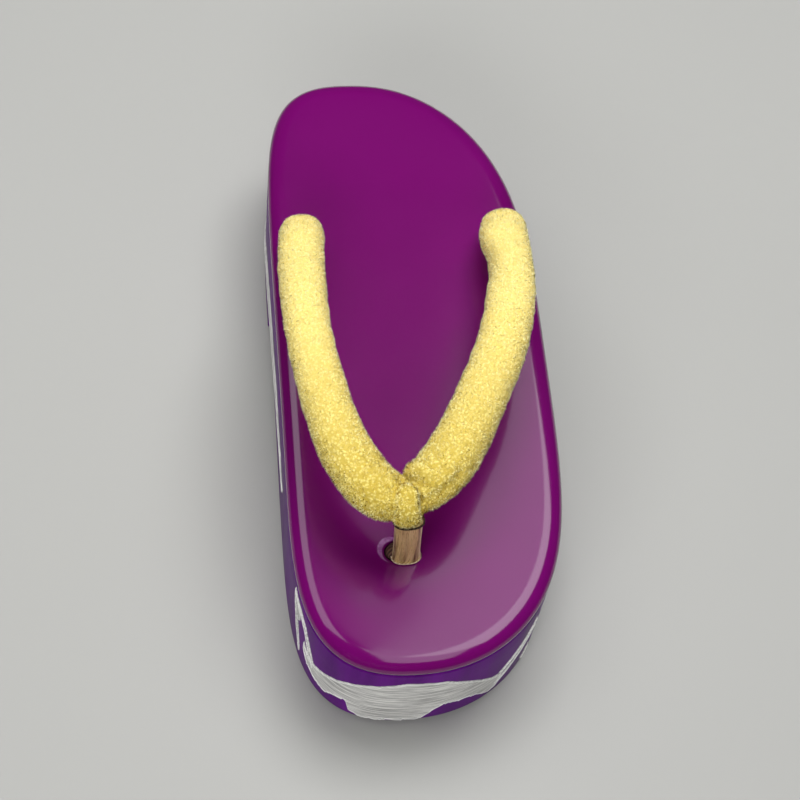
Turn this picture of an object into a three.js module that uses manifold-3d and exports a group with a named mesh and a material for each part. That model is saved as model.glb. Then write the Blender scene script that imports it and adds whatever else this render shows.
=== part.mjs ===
// One geta sandal for the left foot: a violet platform, a plum footbed on it, a padded V strap and a
// toe post. Millimetres, +Z up, toe towards -Y, big-toe side towards -X. The origin lies on the floor
// under the middle of the sole.

import * as THREE from 'three';
import Module from 'manifold-3d';
import { mergeVertices } from 'three/addons/utils/BufferGeometryUtils.js';

// ---------------------------------------------------------------- driving dimensions

const LENGTH = 244;
const WIDTH = 98.3;
const TOP_HEIGHT = 53.5;          // rim of the footbed above the floor at mid length
const HEEL_RAISE = 7;             // how much higher the heel end is than the toe end
const BOARD_THICKNESS = 6;        // footbed at its edge
const FIT_GAP = 0.3;              // between pieces that meet

// Plan outline: each end is half a superellipse that also swings towards the big toe.
const WAIST_Y = -1.3;             // where the toe half and the heel half meet
const SWING_POWER = 3.4;
const ENDS = {
  toe: { reach: LENGTH / 2 + WAIST_Y, swing: 10.2, along: 4.8, across: 2.25 },
  heel: { reach: LENGTH / 2 - WAIST_Y, swing: 15.2, along: 3.65, across: 2.46 },
};
const EDGE_POINTS = 96;

// The line that every inner ring of the sole shrinks towards.
const SPINE = { x: -3, reach: 74 };

// Footbed edge and dish. The edge is a quarter of an ellipse: drop is its height and reach its width.
const RIM = { drop: 4.5, reach: 7, tuck: 1, steps: 5 };
const DISH = { start: 7, end: 34, depth: 0.5, steps: 4 };

// Platform wall and underside.
const SHOULDER = { inset: 0.8, height: 0.8 };
const FOOT_EDGE = { inset: 1.2, height: 1.2 };
const HEEL_FRONT_Y = 44.5;        // front face of the heel block at the floor
const HEEL_FACE_LEAN = 1.5;
const ARCH_RISE = 18;
const ARCH_CORNER = 5;
const FOREFOOT_REAR_Y = -38;      // where the arch runs out to the floor
const SPRING_START_Y = -93;       // where the toe leaves the floor
const TOE_SPRING = 1.8;           // rise of the underside just beyond the toe
const UNDERCUT_DEPTH = 5;         // how far the cutters reach below the floor

// Strap holes through the footbed, channels through the platform, knot recesses underneath.
// x, y: mouth on the footbed; footX, footY: centre of the recess in the underside;
// sink: depth of the dish at the mouth; mouth: radius of the hole; lip: radius of the rolled edge
// round it; recess: radius of the recess; roof: its height.
const HOLES = {
  medial: { x: -37.7, y: 44.2, footX: -31, footY: 35.6, sink: 0, mouth: 6.6, lip: 1.4, recess: 8, roof: 26 },
  lateral: { x: 36.8, y: 44.4, footX: 30, footY: 35.6, sink: 0, mouth: 6.6, lip: 1.4, recess: 8, roof: 26 },
  front: {
    x: -13.8, y: -78.5, footX: -11.6, footY: -80.4, sink: 0.5, mouth: 3.3, lip: 2.8, recess: 9, roof: 12.5,
  },
};
const CHANNEL_RADIUS = 4.2;
const CUTTER_OVERRUN = 2;          // how far a hole's cutter passes the footbed's two faces
const LIP_STEPS = 3;
const ROUND_SIDES = 24;

// Cord inside the channels and the knot that holds it.
const CORD = 5.4;
const KNOT = { wide: 13, height: 8.5, tip: 5 };

// Padded legs, from the hole mouth to the front gather. lift is the height of the centre line above
// the rim plane of the footbed.
const MEDIAL_LEG = [
  { x: -37.7, y: 44.2, lift: 2.2, wide: 11, thick: 11 },
  { x: -38.0, y: 44.0, lift: 8.8, wide: 16.6, thick: 16.2 },
  { x: -38.8, y: 37.4, lift: 15.6, wide: 17.2, thick: 16.6 },
  { x: -39.9, y: 24.0, lift: 20.9, wide: 17.2, thick: 16.2 },
  { x: -40.4, y: 8.0, lift: 26.4, wide: 17.0, thick: 15.8 },
  { x: -40.1, y: -8.0, lift: 30.4, wide: 16.8, thick: 15.6 },
  { x: -38.4, y: -24.0, lift: 32.6, wide: 16.8, thick: 15.6 },
  { x: -35.3, y: -41.6, lift: 33.0, wide: 17.2, thick: 16.0 },
  { x: -31.5, y: -54.7, lift: 32.0, wide: 18.4, thick: 16.8 },
  { x: -25.4, y: -66.0, lift: 30.7, wide: 18.8, thick: 17.2 },
  { x: -18.4, y: -72.9, lift: 29.8, wide: 17.2, thick: 16.4 },
  { x: -13.4, y: -75.8, lift: 29.4, wide: 12.0, thick: 12.4 },
];
const LATERAL_LEG = [
  { x: 36.8, y: 44.4, lift: 2.2, wide: 11, thick: 11 },
  { x: 36.9, y: 44.2, lift: 8.8, wide: 17.0, thick: 16.4 },
  { x: 36.0, y: 36.4, lift: 15.0, wide: 17.8, thick: 17.0 },
  { x: 35.2, y: 22.0, lift: 20.8, wide: 17.8, thick: 16.8 },
  { x: 33.4, y: 7.6, lift: 26.2, wide: 18.0, thick: 16.6 },
  { x: 29.6, y: -8.4, lift: 30.6, wide: 18.2, thick: 16.6 },
  { x: 24.3, y: -23.4, lift: 32.8, wide: 18.4, thick: 16.8 },
  { x: 17.7, y: -37.0, lift: 33.2, wide: 18.4, thick: 16.8 },
  { x: 11.2, y: -49.5, lift: 33.0, wide: 19.0, thick: 17.2 },
  { x: 4.4, y: -60.4, lift: 32.2, wide: 19.4, thick: 17.6 },
  { x: -3.2, y: -68.9, lift: 30.9, wide: 18.2, thick: 16.8 },
  { x: -9.0, y: -74.6, lift: 29.6, wide: 12.0, thick: 12.4 },
];
const LEG_STEPS = 2;              // sections between two rows
const LEG_SIDES = 16;

// Loop of pile round the point of the V, standing on the toe post.
const GATHER = [
  { x: -11.4, y: -80.2, lift: 26.6, wide: 9.8, thick: 7.0 },
  { x: -11.5, y: -79.6, lift: 28.8, wide: 11.6, thick: 10.4 },
  { x: -11.5, y: -77.8, lift: 32.0, wide: 11.6, thick: 12.4 },
  { x: -11.5, y: -74.8, lift: 35.6, wide: 9.4, thick: 10.0 },
  { x: -11.5, y: -72.8, lift: 37.4, wide: 4.6, thick: 5.0 },
];

// Toe post: a flattened sleeve that stands on the footbed, half over the hole, and ends in the gather.
const POST = { wide: 9.5, thick: 5.8 };
const POST_FOOT = { x: -10.2, y: -81.1, lift: -0.3 };
const POST_HEAD = { x: -11.4, y: -80.2, lift: 26.3 };

// Where the cord leaves the front hole and turns into the sleeve.
const NECK = [
  { x: -13.4, y: -78.8, lift: -1.6, wide: 5, thick: 5 },
  { x: -11.2, y: -80.3, lift: 2.8, wide: 4.6, thick: 4.6 },
];

const COLOURS = { plum: 0x7d1070, violet: 0x47208c, pile: 0xf3e085, sleeve: 0xa98a58 };

// ---------------------------------------------------------------- levels

function rimPlane(y) {
  return TOP_HEIGHT + (HEEL_RAISE * y) / LENGTH;
}

function boardBottom(y) {
  return rimPlane(y) - BOARD_THICKNESS;
}

function blockTop(y) {
  return boardBottom(y) - FIT_GAP;
}

// Drop of the footbed's surface below the rim plane at a distance from its edge.
function dishDrop(inset) {
  const along = THREE.MathUtils.clamp((inset - DISH.start) / (DISH.end - DISH.start), 0, 1);
  return (DISH.depth * (1 - Math.cos(Math.PI * along))) / 2;
}

// ---------------------------------------------------------------- solids

const manifold = await Module();
manifold.setup();

function solidOf(geometry) {
  const bare = geometry.clone();
  bare.deleteAttribute('normal');
  bare.deleteAttribute('uv');
  const merged = mergeVertices(bare, 1e-4);
  const mesh = new manifold.Mesh({
    numProp: 3,
    vertProperties: new Float32Array(merged.attributes.position.array),
    triVerts: new Uint32Array(merged.index.array),
  });
  return new manifold.Manifold(mesh);
}

function geometryOf(solid) {
  const mesh = solid.getMesh();
  const geometry = new THREE.BufferGeometry();
  geometry.setAttribute('position', new THREE.BufferAttribute(new Float32Array(mesh.vertProperties), 3));
  geometry.setIndex(new THREE.BufferAttribute(new Uint32Array(mesh.triVerts), 1));
  geometry.computeVertexNormals();
  return geometry;
}

// Closed skin over a stack of rings of equal length. Rings run anticlockwise round the direction in
// which the stack grows; the two end rings are closed with flat fans.
function loft(rings) {
  const count = rings[0].length;
  const positions = rings.flat().flatMap((point) => [point.x, point.y, point.z]);
  const faces = [];
  for (let ring = 0; ring + 1 < rings.length; ring += 1) {
    for (let side = 0; side < count; side += 1) {
      const next = (side + 1) % count;
      const low = ring * count;
      const high = low + count;
      faces.push(low + side, low + next, high + next);
      faces.push(low + side, high + next, high + side);
    }
  }
  const closeEnd = (ring, flipped) => {
    const centre = rings[ring].reduce((sum, point) => sum.add(point), new THREE.Vector3());
    centre.divideScalar(count);
    const hub = positions.length / 3;
    positions.push(centre.x, centre.y, centre.z);
    for (let side = 0; side < count; side += 1) {
      const here = ring * count + side;
      const next = ring * count + ((side + 1) % count);
      faces.push(hub, flipped ? next : here, flipped ? here : next);
    }
  };
  closeEnd(0, true);
  closeEnd(rings.length - 1, false);
  const geometry = new THREE.BufferGeometry();
  geometry.setAttribute('position', new THREE.Float32BufferAttribute(positions, 3));
  geometry.setIndex(faces);
  return geometry;
}

// Round pin between two points, with one radius at each end.
function pin(from, to, fromRadius, toRadius = fromRadius) {
  const axis = to.clone().sub(from);
  const geometry = new THREE.CylinderGeometry(toRadius, fromRadius, axis.length(), ROUND_SIDES);
  const turn = new THREE.Quaternion().setFromUnitVectors(new THREE.Vector3(0, 1, 0), axis.normalize());
  geometry.applyQuaternion(turn);
  const middle = from.clone().add(to).divideScalar(2);
  geometry.translate(middle.x, middle.y, middle.z);
  return solidOf(geometry);
}

// ---------------------------------------------------------------- sole outline

class SoleEdge extends THREE.Curve {
  getPoint(t, target = new THREE.Vector3()) {
    const turn = 2 * Math.PI * t;
    const along = Math.sin(turn);
    const across = Math.cos(turn);
    const end = along >= 0 ? ENDS.heel : ENDS.toe;
    const reach = Math.abs(along) ** (2 / end.along);
    const half = (WIDTH / 2) * Math.abs(across) ** (2 / end.across);
    const x = Math.sign(across) * half - end.swing * reach ** SWING_POWER;
    return target.set(x, WAIST_Y + Math.sign(along) * end.reach * reach, 0);
  }
}

function soleEdge() {
  const curve = new SoleEdge();
  curve.arcLengthDivisions = 4000;
  const points = curve.getSpacedPoints(EDGE_POINTS).slice(0, EDGE_POINTS);
  const box = new THREE.Box3().setFromPoints(points);
  const middle = box.getCenter(new THREE.Vector3());
  return points.map((point) => point.sub(middle));
}

const EDGE = soleEdge();

// The outline moved inwards, at a height that may change along the shoe.
function soleRing(inset, heightAt) {
  return EDGE.map((point) => {
    const spineY = THREE.MathUtils.clamp(point.y, -SPINE.reach, SPINE.reach);
    const inward = new THREE.Vector3(SPINE.x - point.x, spineY - point.y, 0).normalize();
    const moved = point.clone().addScaledVector(inward, inset);
    moved.z = heightAt(moved.y);
    return moved;
  });
}

// ---------------------------------------------------------------- footbed

function holeMouth(hole) {
  return new THREE.Vector3(hole.x, hole.y, rimPlane(hole.y));
}

function holeFoot(hole) {
  return new THREE.Vector3(hole.footX, hole.footY, 0);
}

// A point on the hole's axis at a height.
function onHoleAxis(hole, height) {
  const mouth = holeMouth(hole);
  return mouth.clone().lerp(holeFoot(hole), 1 - height / mouth.z);
}

// Cutter for one hole: straight below, then opening upwards in a quarter round that rolls the lip.
function holeCutter(hole) {
  const mouth = holeMouth(hole);
  const surface = mouth.z - hole.sink;
  const bottom = onHoleAxis(hole, boardBottom(hole.y) - CUTTER_OVERRUN);
  const profile = [
    new THREE.Vector2(0, bottom.z - surface),
    new THREE.Vector2(hole.mouth, bottom.z - surface),
  ];
  for (let step = 0; step <= LIP_STEPS; step += 1) {
    const turn = (Math.PI / 2) * (step / LIP_STEPS);
    const radius = hole.mouth + hole.lip * (1 - Math.cos(turn));
    profile.push(new THREE.Vector2(radius, hole.lip * (Math.sin(turn) - 1)));
  }
  profile.push(new THREE.Vector2(hole.mouth + hole.lip, CUTTER_OVERRUN));
  profile.push(new THREE.Vector2(0, CUTTER_OVERRUN));
  const geometry = new THREE.LatheGeometry(profile, ROUND_SIDES);
  const axis = mouth.clone().sub(holeFoot(hole)).normalize();
  const standing = new THREE.Quaternion().setFromUnitVectors(new THREE.Vector3(0, 1, 0), axis);
  geometry.applyQuaternion(standing);
  const place = onHoleAxis(hole, surface);
  geometry.translate(place.x, place.y, place.z);
  return solidOf(geometry);
}

function footbed() {
  const rings = [soleRing(RIM.tuck, boardBottom)];
  for (let step = 0; step <= RIM.steps; step += 1) {
    const turn = (Math.PI / 2) * (step / RIM.steps);
    const inset = RIM.reach * (1 - Math.cos(turn));
    rings.push(soleRing(inset, (y) => rimPlane(y) - RIM.drop * (1 - Math.sin(turn))));
  }
  for (let step = 1; step <= DISH.steps; step += 1) {
    const inset = DISH.start + (DISH.end - DISH.start) * (step / DISH.steps);
    rings.push(soleRing(inset, (y) => rimPlane(y) - dishDrop(inset)));
  }
  let solid = solidOf(loft(rings));
  for (const hole of Object.values(HOLES)) {
    solid = solid.subtract(holeCutter(hole));
  }
  return geometryOf(solid);
}

// ---------------------------------------------------------------- platform

// Side profile, in y and z, of the space under the arch.
function archProfile() {
  const shape = new THREE.Shape();
  const faceY = HEEL_FRONT_Y - HEEL_FACE_LEAN;
  shape.moveTo(HEEL_FRONT_Y, -UNDERCUT_DEPTH);
  shape.lineTo(HEEL_FRONT_Y, 0);
  shape.lineTo(faceY, ARCH_RISE - ARCH_CORNER);
  shape.quadraticCurveTo(faceY, ARCH_RISE, faceY - ARCH_CORNER, ARCH_RISE);
  shape.bezierCurveTo(18, ARCH_RISE, -8, 2, FOREFOOT_REAR_Y, 0);
  shape.lineTo(FOREFOOT_REAR_Y, -UNDERCUT_DEPTH);
  return shape;
}

// Side profile of the space under the toe.
function springProfile() {
  const shape = new THREE.Shape();
  const tipY = -LENGTH / 2 - UNDERCUT_DEPTH;
  shape.moveTo(SPRING_START_Y, -UNDERCUT_DEPTH);
  shape.lineTo(SPRING_START_Y, 0);
  shape.quadraticCurveTo((SPRING_START_Y + tipY) / 2, 0, tipY, TOE_SPRING);
  shape.lineTo(tipY, -UNDERCUT_DEPTH);
  return shape;
}

// Solid of a side profile drawn right across the shoe.
function acrossShoe(shape) {
  const settings = { depth: 2 * WIDTH, bevelEnabled: false, curveSegments: 14 };
  const geometry = new THREE.ExtrudeGeometry(shape, settings);
  const yAxis = new THREE.Vector3(0, 1, 0);
  const zAxis = new THREE.Vector3(0, 0, 1);
  geometry.applyMatrix4(new THREE.Matrix4().makeBasis(yAxis, zAxis, new THREE.Vector3(1, 0, 0)));
  geometry.translate(-WIDTH, 0, 0);
  return solidOf(geometry);
}

function platform() {
  const rings = [
    soleRing(FOOT_EDGE.inset, () => 0),
    soleRing(FOOT_EDGE.inset / 3, () => FOOT_EDGE.height / 3),
    soleRing(0, () => FOOT_EDGE.height),
    soleRing(0, (y) => blockTop(y) - SHOULDER.height),
    soleRing(SHOULDER.inset, blockTop),
  ];
  let solid = solidOf(loft(rings));
  solid = solid.subtract(acrossShoe(archProfile()));
  solid = solid.subtract(acrossShoe(springProfile()));
  for (const hole of Object.values(HOLES)) {
    const low = onHoleAxis(hole, -UNDERCUT_DEPTH);
    const high = onHoleAxis(hole, rimPlane(hole.y));
    solid = solid.subtract(pin(low, high, CHANNEL_RADIUS));
    solid = solid.subtract(pin(low, onHoleAxis(hole, hole.roof), hole.recess));
  }
  return geometryOf(solid);
}

// ---------------------------------------------------------------- strap and toe post

// Knot and cord of one hole as rows of a sweep, from the knot's lower tip up to the footbed.
function knottedCord(hole) {
  const top = hole.roof - FIT_GAP;
  const levels = [
    { height: top - KNOT.height, wide: KNOT.tip },
    { height: top - 0.8 * KNOT.height, wide: 0.85 * KNOT.wide },
    { height: top - 0.5 * KNOT.height, wide: KNOT.wide },
    { height: top - 0.15 * KNOT.height, wide: 0.85 * KNOT.wide },
    { height: top + 1.5, wide: CORD },
    { height: boardBottom(hole.y) - CUTTER_OVERRUN, wide: CORD },
  ];
  return levels.map(({ height, wide }) => ({ centre: onHoleAxis(hole, height), wide, thick: wide }));
}

function liftedRow({ x, y, lift, wide, thick }) {
  return { centre: new THREE.Vector3(x, y, rimPlane(y) + lift), wide, thick };
}

// Solid with an oval section that follows the rows' centres. The section keeps from twisting by
// carrying its side direction along.
function sweep(rows, stepsPerRow, sides) {
  const path = new THREE.CatmullRomCurve3(rows.map((row) => row.centre), false, 'centripetal');
  const sizes = rows.map((row) => new THREE.Vector3(row.wide / 2, row.thick / 2, 0));
  const steps = (rows.length - 1) * stepsPerRow;
  const rings = [];
  let side = new THREE.Vector3(1, 0, 0);
  for (let step = 0; step <= steps; step += 1) {
    const row = Math.min(Math.floor(step / stepsPerRow), rows.length - 2);
    const part = step / stepsPerRow - row;
    const size = sizes[row].clone().lerp(sizes[row + 1], part);
    const centre = path.getPoint(step / steps);
    const tangent = path.getTangent(step / steps);
    side = side.clone().addScaledVector(tangent, -side.dot(tangent)).normalize();
    const up = tangent.clone().cross(side);
    const ring = [];
    for (let corner = 0; corner < sides; corner += 1) {
      const turn = (2 * Math.PI * corner) / sides;
      const point = centre.clone().addScaledVector(side, size.x * Math.cos(turn));
      ring.push(point.addScaledVector(up, size.y * Math.sin(turn)));
    }
    rings.push(ring);
  }
  return solidOf(loft(rings));
}

// The sleeve of the toe post, made wider all round and longer by a margin.
function postSleeve(margin) {
  const ends = [POST_FOOT, POST_HEAD].map((end) => (
    liftedRow({ ...end, wide: POST.wide + 2 * margin, thick: POST.thick + 2 * margin })
  ));
  const axis = ends[1].centre.clone().sub(ends[0].centre).normalize();
  ends[1].centre.addScaledVector(axis, margin);
  return sweep(ends, 1, LEG_SIDES);
}

function hanaoStrap() {
  const medial = sweep([...knottedCord(HOLES.medial), ...MEDIAL_LEG.map(liftedRow)], LEG_STEPS, LEG_SIDES);
  const lateral = sweep([...knottedCord(HOLES.lateral), ...LATERAL_LEG.map(liftedRow)], LEG_STEPS, LEG_SIDES);
  const gather = sweep(GATHER.map(liftedRow), LEG_STEPS, LEG_SIDES);
  return geometryOf(medial.add(lateral).add(gather).subtract(postSleeve(FIT_GAP)));
}

function toePost() {
  const cord = sweep([...knottedCord(HOLES.front), ...NECK.map(liftedRow)], LEG_STEPS, LEG_SIDES);
  return geometryOf(cord.add(postSleeve(0)));
}

// ---------------------------------------------------------------- assembly

function piece(name, geometry, color, roughness) {
  const material = new THREE.MeshStandardMaterial({ color, roughness, metalness: 0 });
  const mesh = new THREE.Mesh(geometry, material);
  mesh.name = name;
  return mesh;
}

const group = new THREE.Group();
group.add(piece('footbed', footbed(), COLOURS.plum, 0.15));
group.add(piece('platform', platform(), COLOURS.violet, 0.35));
group.add(piece('hanao_strap', hanaoStrap(), COLOURS.pile, 0.95));
group.add(piece('toe_post', toePost(), COLOURS.sleeve, 0.5));

export default group;
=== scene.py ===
"""A single geta sandal for the left foot in a pale studio.

Shapes are worked out in millimetres from the shoe's own sizes and turned into metres when a mesh is
made. +Z is up, the toe points to -Y and the big-toe side is -X.
"""
import math

import bpy
import numpy as np
from mathutils import Matrix, Vector
from mathutils.geometry import delaunay_2d_cdt
from mathutils.kdtree import KDTree


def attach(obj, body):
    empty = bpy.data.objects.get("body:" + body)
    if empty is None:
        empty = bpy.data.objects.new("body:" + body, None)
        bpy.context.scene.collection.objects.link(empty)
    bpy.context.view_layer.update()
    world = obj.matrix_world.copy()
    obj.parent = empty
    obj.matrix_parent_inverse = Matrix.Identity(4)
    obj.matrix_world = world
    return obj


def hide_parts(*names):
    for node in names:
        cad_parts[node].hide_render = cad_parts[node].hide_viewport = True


MM = 0.001
TURN = 2 * math.pi

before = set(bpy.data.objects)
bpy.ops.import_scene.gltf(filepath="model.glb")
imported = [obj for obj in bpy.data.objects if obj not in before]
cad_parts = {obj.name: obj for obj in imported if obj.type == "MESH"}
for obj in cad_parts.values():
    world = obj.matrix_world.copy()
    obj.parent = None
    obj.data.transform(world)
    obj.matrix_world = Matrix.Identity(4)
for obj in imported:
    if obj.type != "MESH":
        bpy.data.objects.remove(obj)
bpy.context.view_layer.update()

# ---- sizes shared with the CAD part

LENGTH, WIDTH = 244.0, 98.3
TOP_HEIGHT, HEEL_RAISE = 53.5, 7.0
BOARD_THICKNESS, FIT_GAP = 6.0, 0.3
WAIST_Y, SWING_POWER = -1.3, 3.4
TOE_END = {"reach": LENGTH / 2 + WAIST_Y, "swing": 10.2, "along": 4.8, "across": 2.25}
HEEL_END = {"reach": LENGTH / 2 - WAIST_Y, "swing": 15.2, "along": 3.65, "across": 2.46}
SPINE_X, SPINE_REACH = -3.0, 74.0
RIM_DROP, RIM_REACH, RIM_TUCK = 4.5, 7.0, 1.0
DISH_START, DISH_END = 7.0, 34.0
# Strap holes: plan centre at the top and at the floor, radius at the mouth, size of the rounded lip,
# radius of the knot's recess and height of its roof.
HOLE_COLUMNS = ("x", "y", "foot", "mouth", "lip", "recess", "roof")
HOLE_ROWS = {
    "medial": (-37.7, 44.2, (-31.0, 35.6), 6.6, 1.4, 8.0, 26.0),
    "lateral": (36.8, 44.4, (30.0, 35.6), 6.6, 1.4, 8.0, 26.0),
    "front": (-13.8, -78.5, (-11.6, -80.4), 3.3, 2.8, 9.0, 12.5),
}
HOLES = {name: dict(zip(HOLE_COLUMNS, row)) for name, row in HOLE_ROWS.items()}
CHANNEL_RADIUS, CORD = 4.2, 5.4
KNOT_WIDE, KNOT_HEIGHT, KNOT_TIP = 13.0, 8.5, 5.0

# Underside, from the heel's ground contact forward.
HEEL_FRONT_Y, HEEL_FACE_LEAN = 44.5, 1.5
ARCH_RISE, ARCH_CORNER = 18.0, 5.0
FOREFOOT_REAR_Y = -38.0
SPRING_START_Y, SPRING_END_Y, SPRING_END_Z = -93.0, -127.0, 1.85
FOOT_EDGE, SHOULDER = 1.2, 0.8

# Sizes of the visual model alone: a shallower dish, so that the gloss mirrors the studio evenly, and a
# front cord that fills its hole.
DISH_DEPTH = 0.3
CORD_MOST = 6.2


def rim_plane(y):
    return TOP_HEIGHT + HEEL_RAISE * y / LENGTH


def board_bottom(y):
    return rim_plane(y) - BOARD_THICKNESS


def block_top(y):
    return board_bottom(y) - FIT_GAP


# ---- camera

CAMERA_AT = (-85.6, -345.9, 630.4)
CAMERA_AIM = (-3.2, -6.0, 27.0)
CAMERA_UP = (0.0422, 0.8778, 0.4772)
CAMERA_LENS = 84.0


def make_camera():
    data = bpy.data.cameras.new("camera")
    data.lens = CAMERA_LENS
    data.sensor_width = 36.0
    data.clip_start, data.clip_end = 0.01, 50.0
    camera = bpy.data.objects.new("camera", data)
    bpy.context.scene.collection.objects.link(camera)
    at, aim = Vector(CAMERA_AT) * MM, Vector(CAMERA_AIM) * MM
    back = (at - aim).normalized()
    right = Vector(CAMERA_UP).cross(back).normalized()
    up = back.cross(right)
    turn = Matrix((right, up, back)).transposed()
    camera.matrix_world = Matrix.Translation(at) @ turn.to_4x4()
    bpy.context.scene.camera = camera


make_camera()


# ---- mesh helpers

def unit(vectors):
    """Vectors brought to length 1."""
    return vectors / np.maximum(np.linalg.norm(vectors, axis=-1, keepdims=True), 1e-12)


def arc_of(points):
    """Distance along a broken line at each of its points."""
    return np.concatenate([[0], np.cumsum(np.linalg.norm(np.diff(points, axis=0), axis=1))])


def add_field(obj, name, values):
    """Point values that a material can read."""
    attribute = obj.data.attributes.new(name, "FLOAT", "POINT")
    attribute.data.foreach_set("value", values.astype(np.float32))


def make_object(name, points, faces, material, slot, uvs=None):
    """A mesh object from millimetre points, riding on the shoe when a slot is given."""
    mesh = bpy.data.meshes.new(name)
    mesh.from_pydata((np.asarray(points, float) * MM).tolist(), [], faces)
    mesh.validate()
    mesh.polygons.foreach_set("use_smooth", [True] * len(mesh.polygons))
    if uvs is not None:
        layer = mesh.uv_layers.new(name="flow")
        corners = np.empty(len(mesh.loops), np.int32)
        mesh.loops.foreach_get("vertex_index", corners)
        layer.data.foreach_set("uv", np.asarray(uvs, float)[corners].ravel())
    mesh.update()
    obj = bpy.data.objects.new(name, mesh)
    bpy.context.scene.collection.objects.link(obj)
    obj.data.materials.append(material)
    if slot:
        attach(obj, "root")
    return obj


def strip_faces(rings, count, closed=True, start=0):
    """Quads between rings of equal length that follow each other in the point list."""
    faces = []
    last = count if closed else count - 1
    for ring in range(rings - 1):
        for side in range(last):
            low = start + ring * count
            nxt = (side + 1) % count
            faces.append((low + side, low + nxt, low + count + nxt, low + count + side))
    return faces


def stacked(parts):
    """One point list and one face list from several."""
    points, faces, offset = [], [], 0
    for part_points, part_faces in parts:
        points.append(np.asarray(part_points, float))
        faces += [tuple(index + offset for index in face) for face in part_faces]
        offset += len(part_points)
    return np.vstack(points), faces


def join_meshes(parts):
    """The parts stacked, with touching points merged."""
    points, faces = stacked(parts)
    keys = np.round(points / 1e-3).astype(np.int64)
    _, first, inverse = np.unique(keys, axis=0, return_index=True, return_inverse=True)
    inverse = inverse.ravel()
    merged = [tuple(dict.fromkeys(int(inverse[index]) for index in face)) for face in faces]
    return points[first], [face for face in merged if len(face) > 2]


def fill_plan(loops, extra=(), hollow=lambda middle: False):
    """Triangles over a plan region. The first loop is the outer edge and the others are holes; extra
    points lie inside, and hollow says of a triangle's middle whether it falls in a hole."""
    flat, edges = [], []
    for loop in loops:
        base = len(flat)
        flat += [Vector(p[:2]) for p in loop]
        edges += [(base + i, base + (i + 1) % len(loop)) for i in range(len(loop))]
    flat += [Vector(p[:2]) for p in extra]
    verts, _, faces, _, _, _ = delaunay_2d_cdt(flat, edges, [], 0, 1e-5)
    plan = np.array([tuple(v) for v in verts])
    outer = np.asarray(loops[0], float)[:, :2]
    kept = []
    for face in faces:
        middle = plan[list(face)].mean(0)
        if inside(outer, middle) and not hollow(middle):
            kept.append(tuple(face))
    return plan, kept


def inside(loop, point):
    x, y = point
    x0, y0 = loop[:, 0], loop[:, 1]
    x1, y1 = np.roll(x0, -1), np.roll(y0, -1)
    crossing = (y0 > y) != (y1 > y)
    at = x0 + (y - y0) / np.where(y1 == y0, 1e-12, y1 - y0) * (x1 - x0)
    return bool(np.count_nonzero(crossing & (x < at)) % 2)


def sharpen(obj, degrees):
    """Marks as sharp the edges whose faces turn by more than an angle."""
    obj.data.set_sharp_from_angle(angle=math.radians(degrees))


def apply_modifiers(obj):
    """Bakes an object's modifiers into its mesh."""
    graph = bpy.context.evaluated_depsgraph_get()
    result = bpy.data.meshes.new_from_object(obj.evaluated_get(graph))
    obj.modifiers.clear()
    old = obj.data
    obj.data = result
    bpy.data.meshes.remove(old)


def cut(obj, cutters):
    """Boolean difference with each cutter, applied."""
    for cutter in cutters:
        modifier = obj.modifiers.new("cut", "BOOLEAN")
        modifier.operation, modifier.solver, modifier.object = "DIFFERENCE", "EXACT", cutter
    apply_modifiers(obj)
    for cutter in cutters:
        bpy.data.objects.remove(cutter)


def points_of(obj):
    """An object's points, in millimetres."""
    points = np.empty(3 * len(obj.data.vertices))
    obj.data.vertices.foreach_get("co", points)
    return points.reshape(-1, 3) / MM


def corners_of(obj):
    """Which points each face of an object has."""
    return np.array([tuple(face.vertices) for face in obj.data.polygons])


def normals_of(points, corners):
    """Point normals of a mesh of four-cornered faces, pointing out."""
    first, second, third, fourth = (points[corners[:, corner]] for corner in range(4))
    across = np.cross(third - first, fourth - second)
    normals = np.zeros_like(points)
    for corner in range(4):
        np.add.at(normals, corners[:, corner], across)
    return unit(normals)


def rounding(degrees):
    """Shares of a rounded edge's size, across and up, at an angle round it."""
    return 1 - math.cos(math.radians(degrees)), math.sin(math.radians(degrees))


# ---- sole outline

def raw_edge(samples=24000):
    turn = np.linspace(0, TURN, samples, endpoint=False)
    along, across = np.sin(turn), np.cos(turn)

    def pick(key):
        return np.where(along >= 0, HEEL_END[key], TOE_END[key])

    reach = np.abs(along) ** (2 / pick("along"))
    half = WIDTH / 2 * np.abs(across) ** (2 / pick("across"))
    points = np.stack([
        np.sign(across) * half - pick("swing") * reach ** SWING_POWER,
        WAIST_Y + np.sign(along) * pick("reach") * reach,
    ], 1)
    return points - (points.max(0) + points.min(0)) / 2


RAW_EDGE = raw_edge()
RAW_STEPS = np.linalg.norm(np.roll(RAW_EDGE, -1, 0) - RAW_EDGE, axis=1)
RAW_ARC = np.concatenate([[0], np.cumsum(RAW_STEPS)])
PERIMETER = RAW_ARC[-1]
EDGE_CLOSED = np.vstack([RAW_EDGE, RAW_EDGE[:1]])
TOE_MIDDLE_X = -10.0
TOE_ARC = RAW_ARC[int(np.argmin(np.where(RAW_EDGE[:, 1] < 0, np.abs(RAW_EDGE[:, 0] - TOE_MIDDLE_X), 1e9)))]


def edge_at(arc):
    """Outline points at arc lengths."""
    arc = np.mod(arc, PERIMETER)
    return np.stack([np.interp(arc, RAW_ARC, EDGE_CLOSED[:, k]) for k in (0, 1)], 1)


def wall_at(from_toe):
    """Outline points and outward directions at distances round from the toe's middle, + towards the
    small toe."""
    arc = TOE_ARC + np.asarray(from_toe, float)
    points = edge_at(arc)
    ahead = unit(edge_at(arc + 0.8) - edge_at(arc - 0.8))
    return points, np.stack([ahead[:, 1], -ahead[:, 0]], 1)


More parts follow.
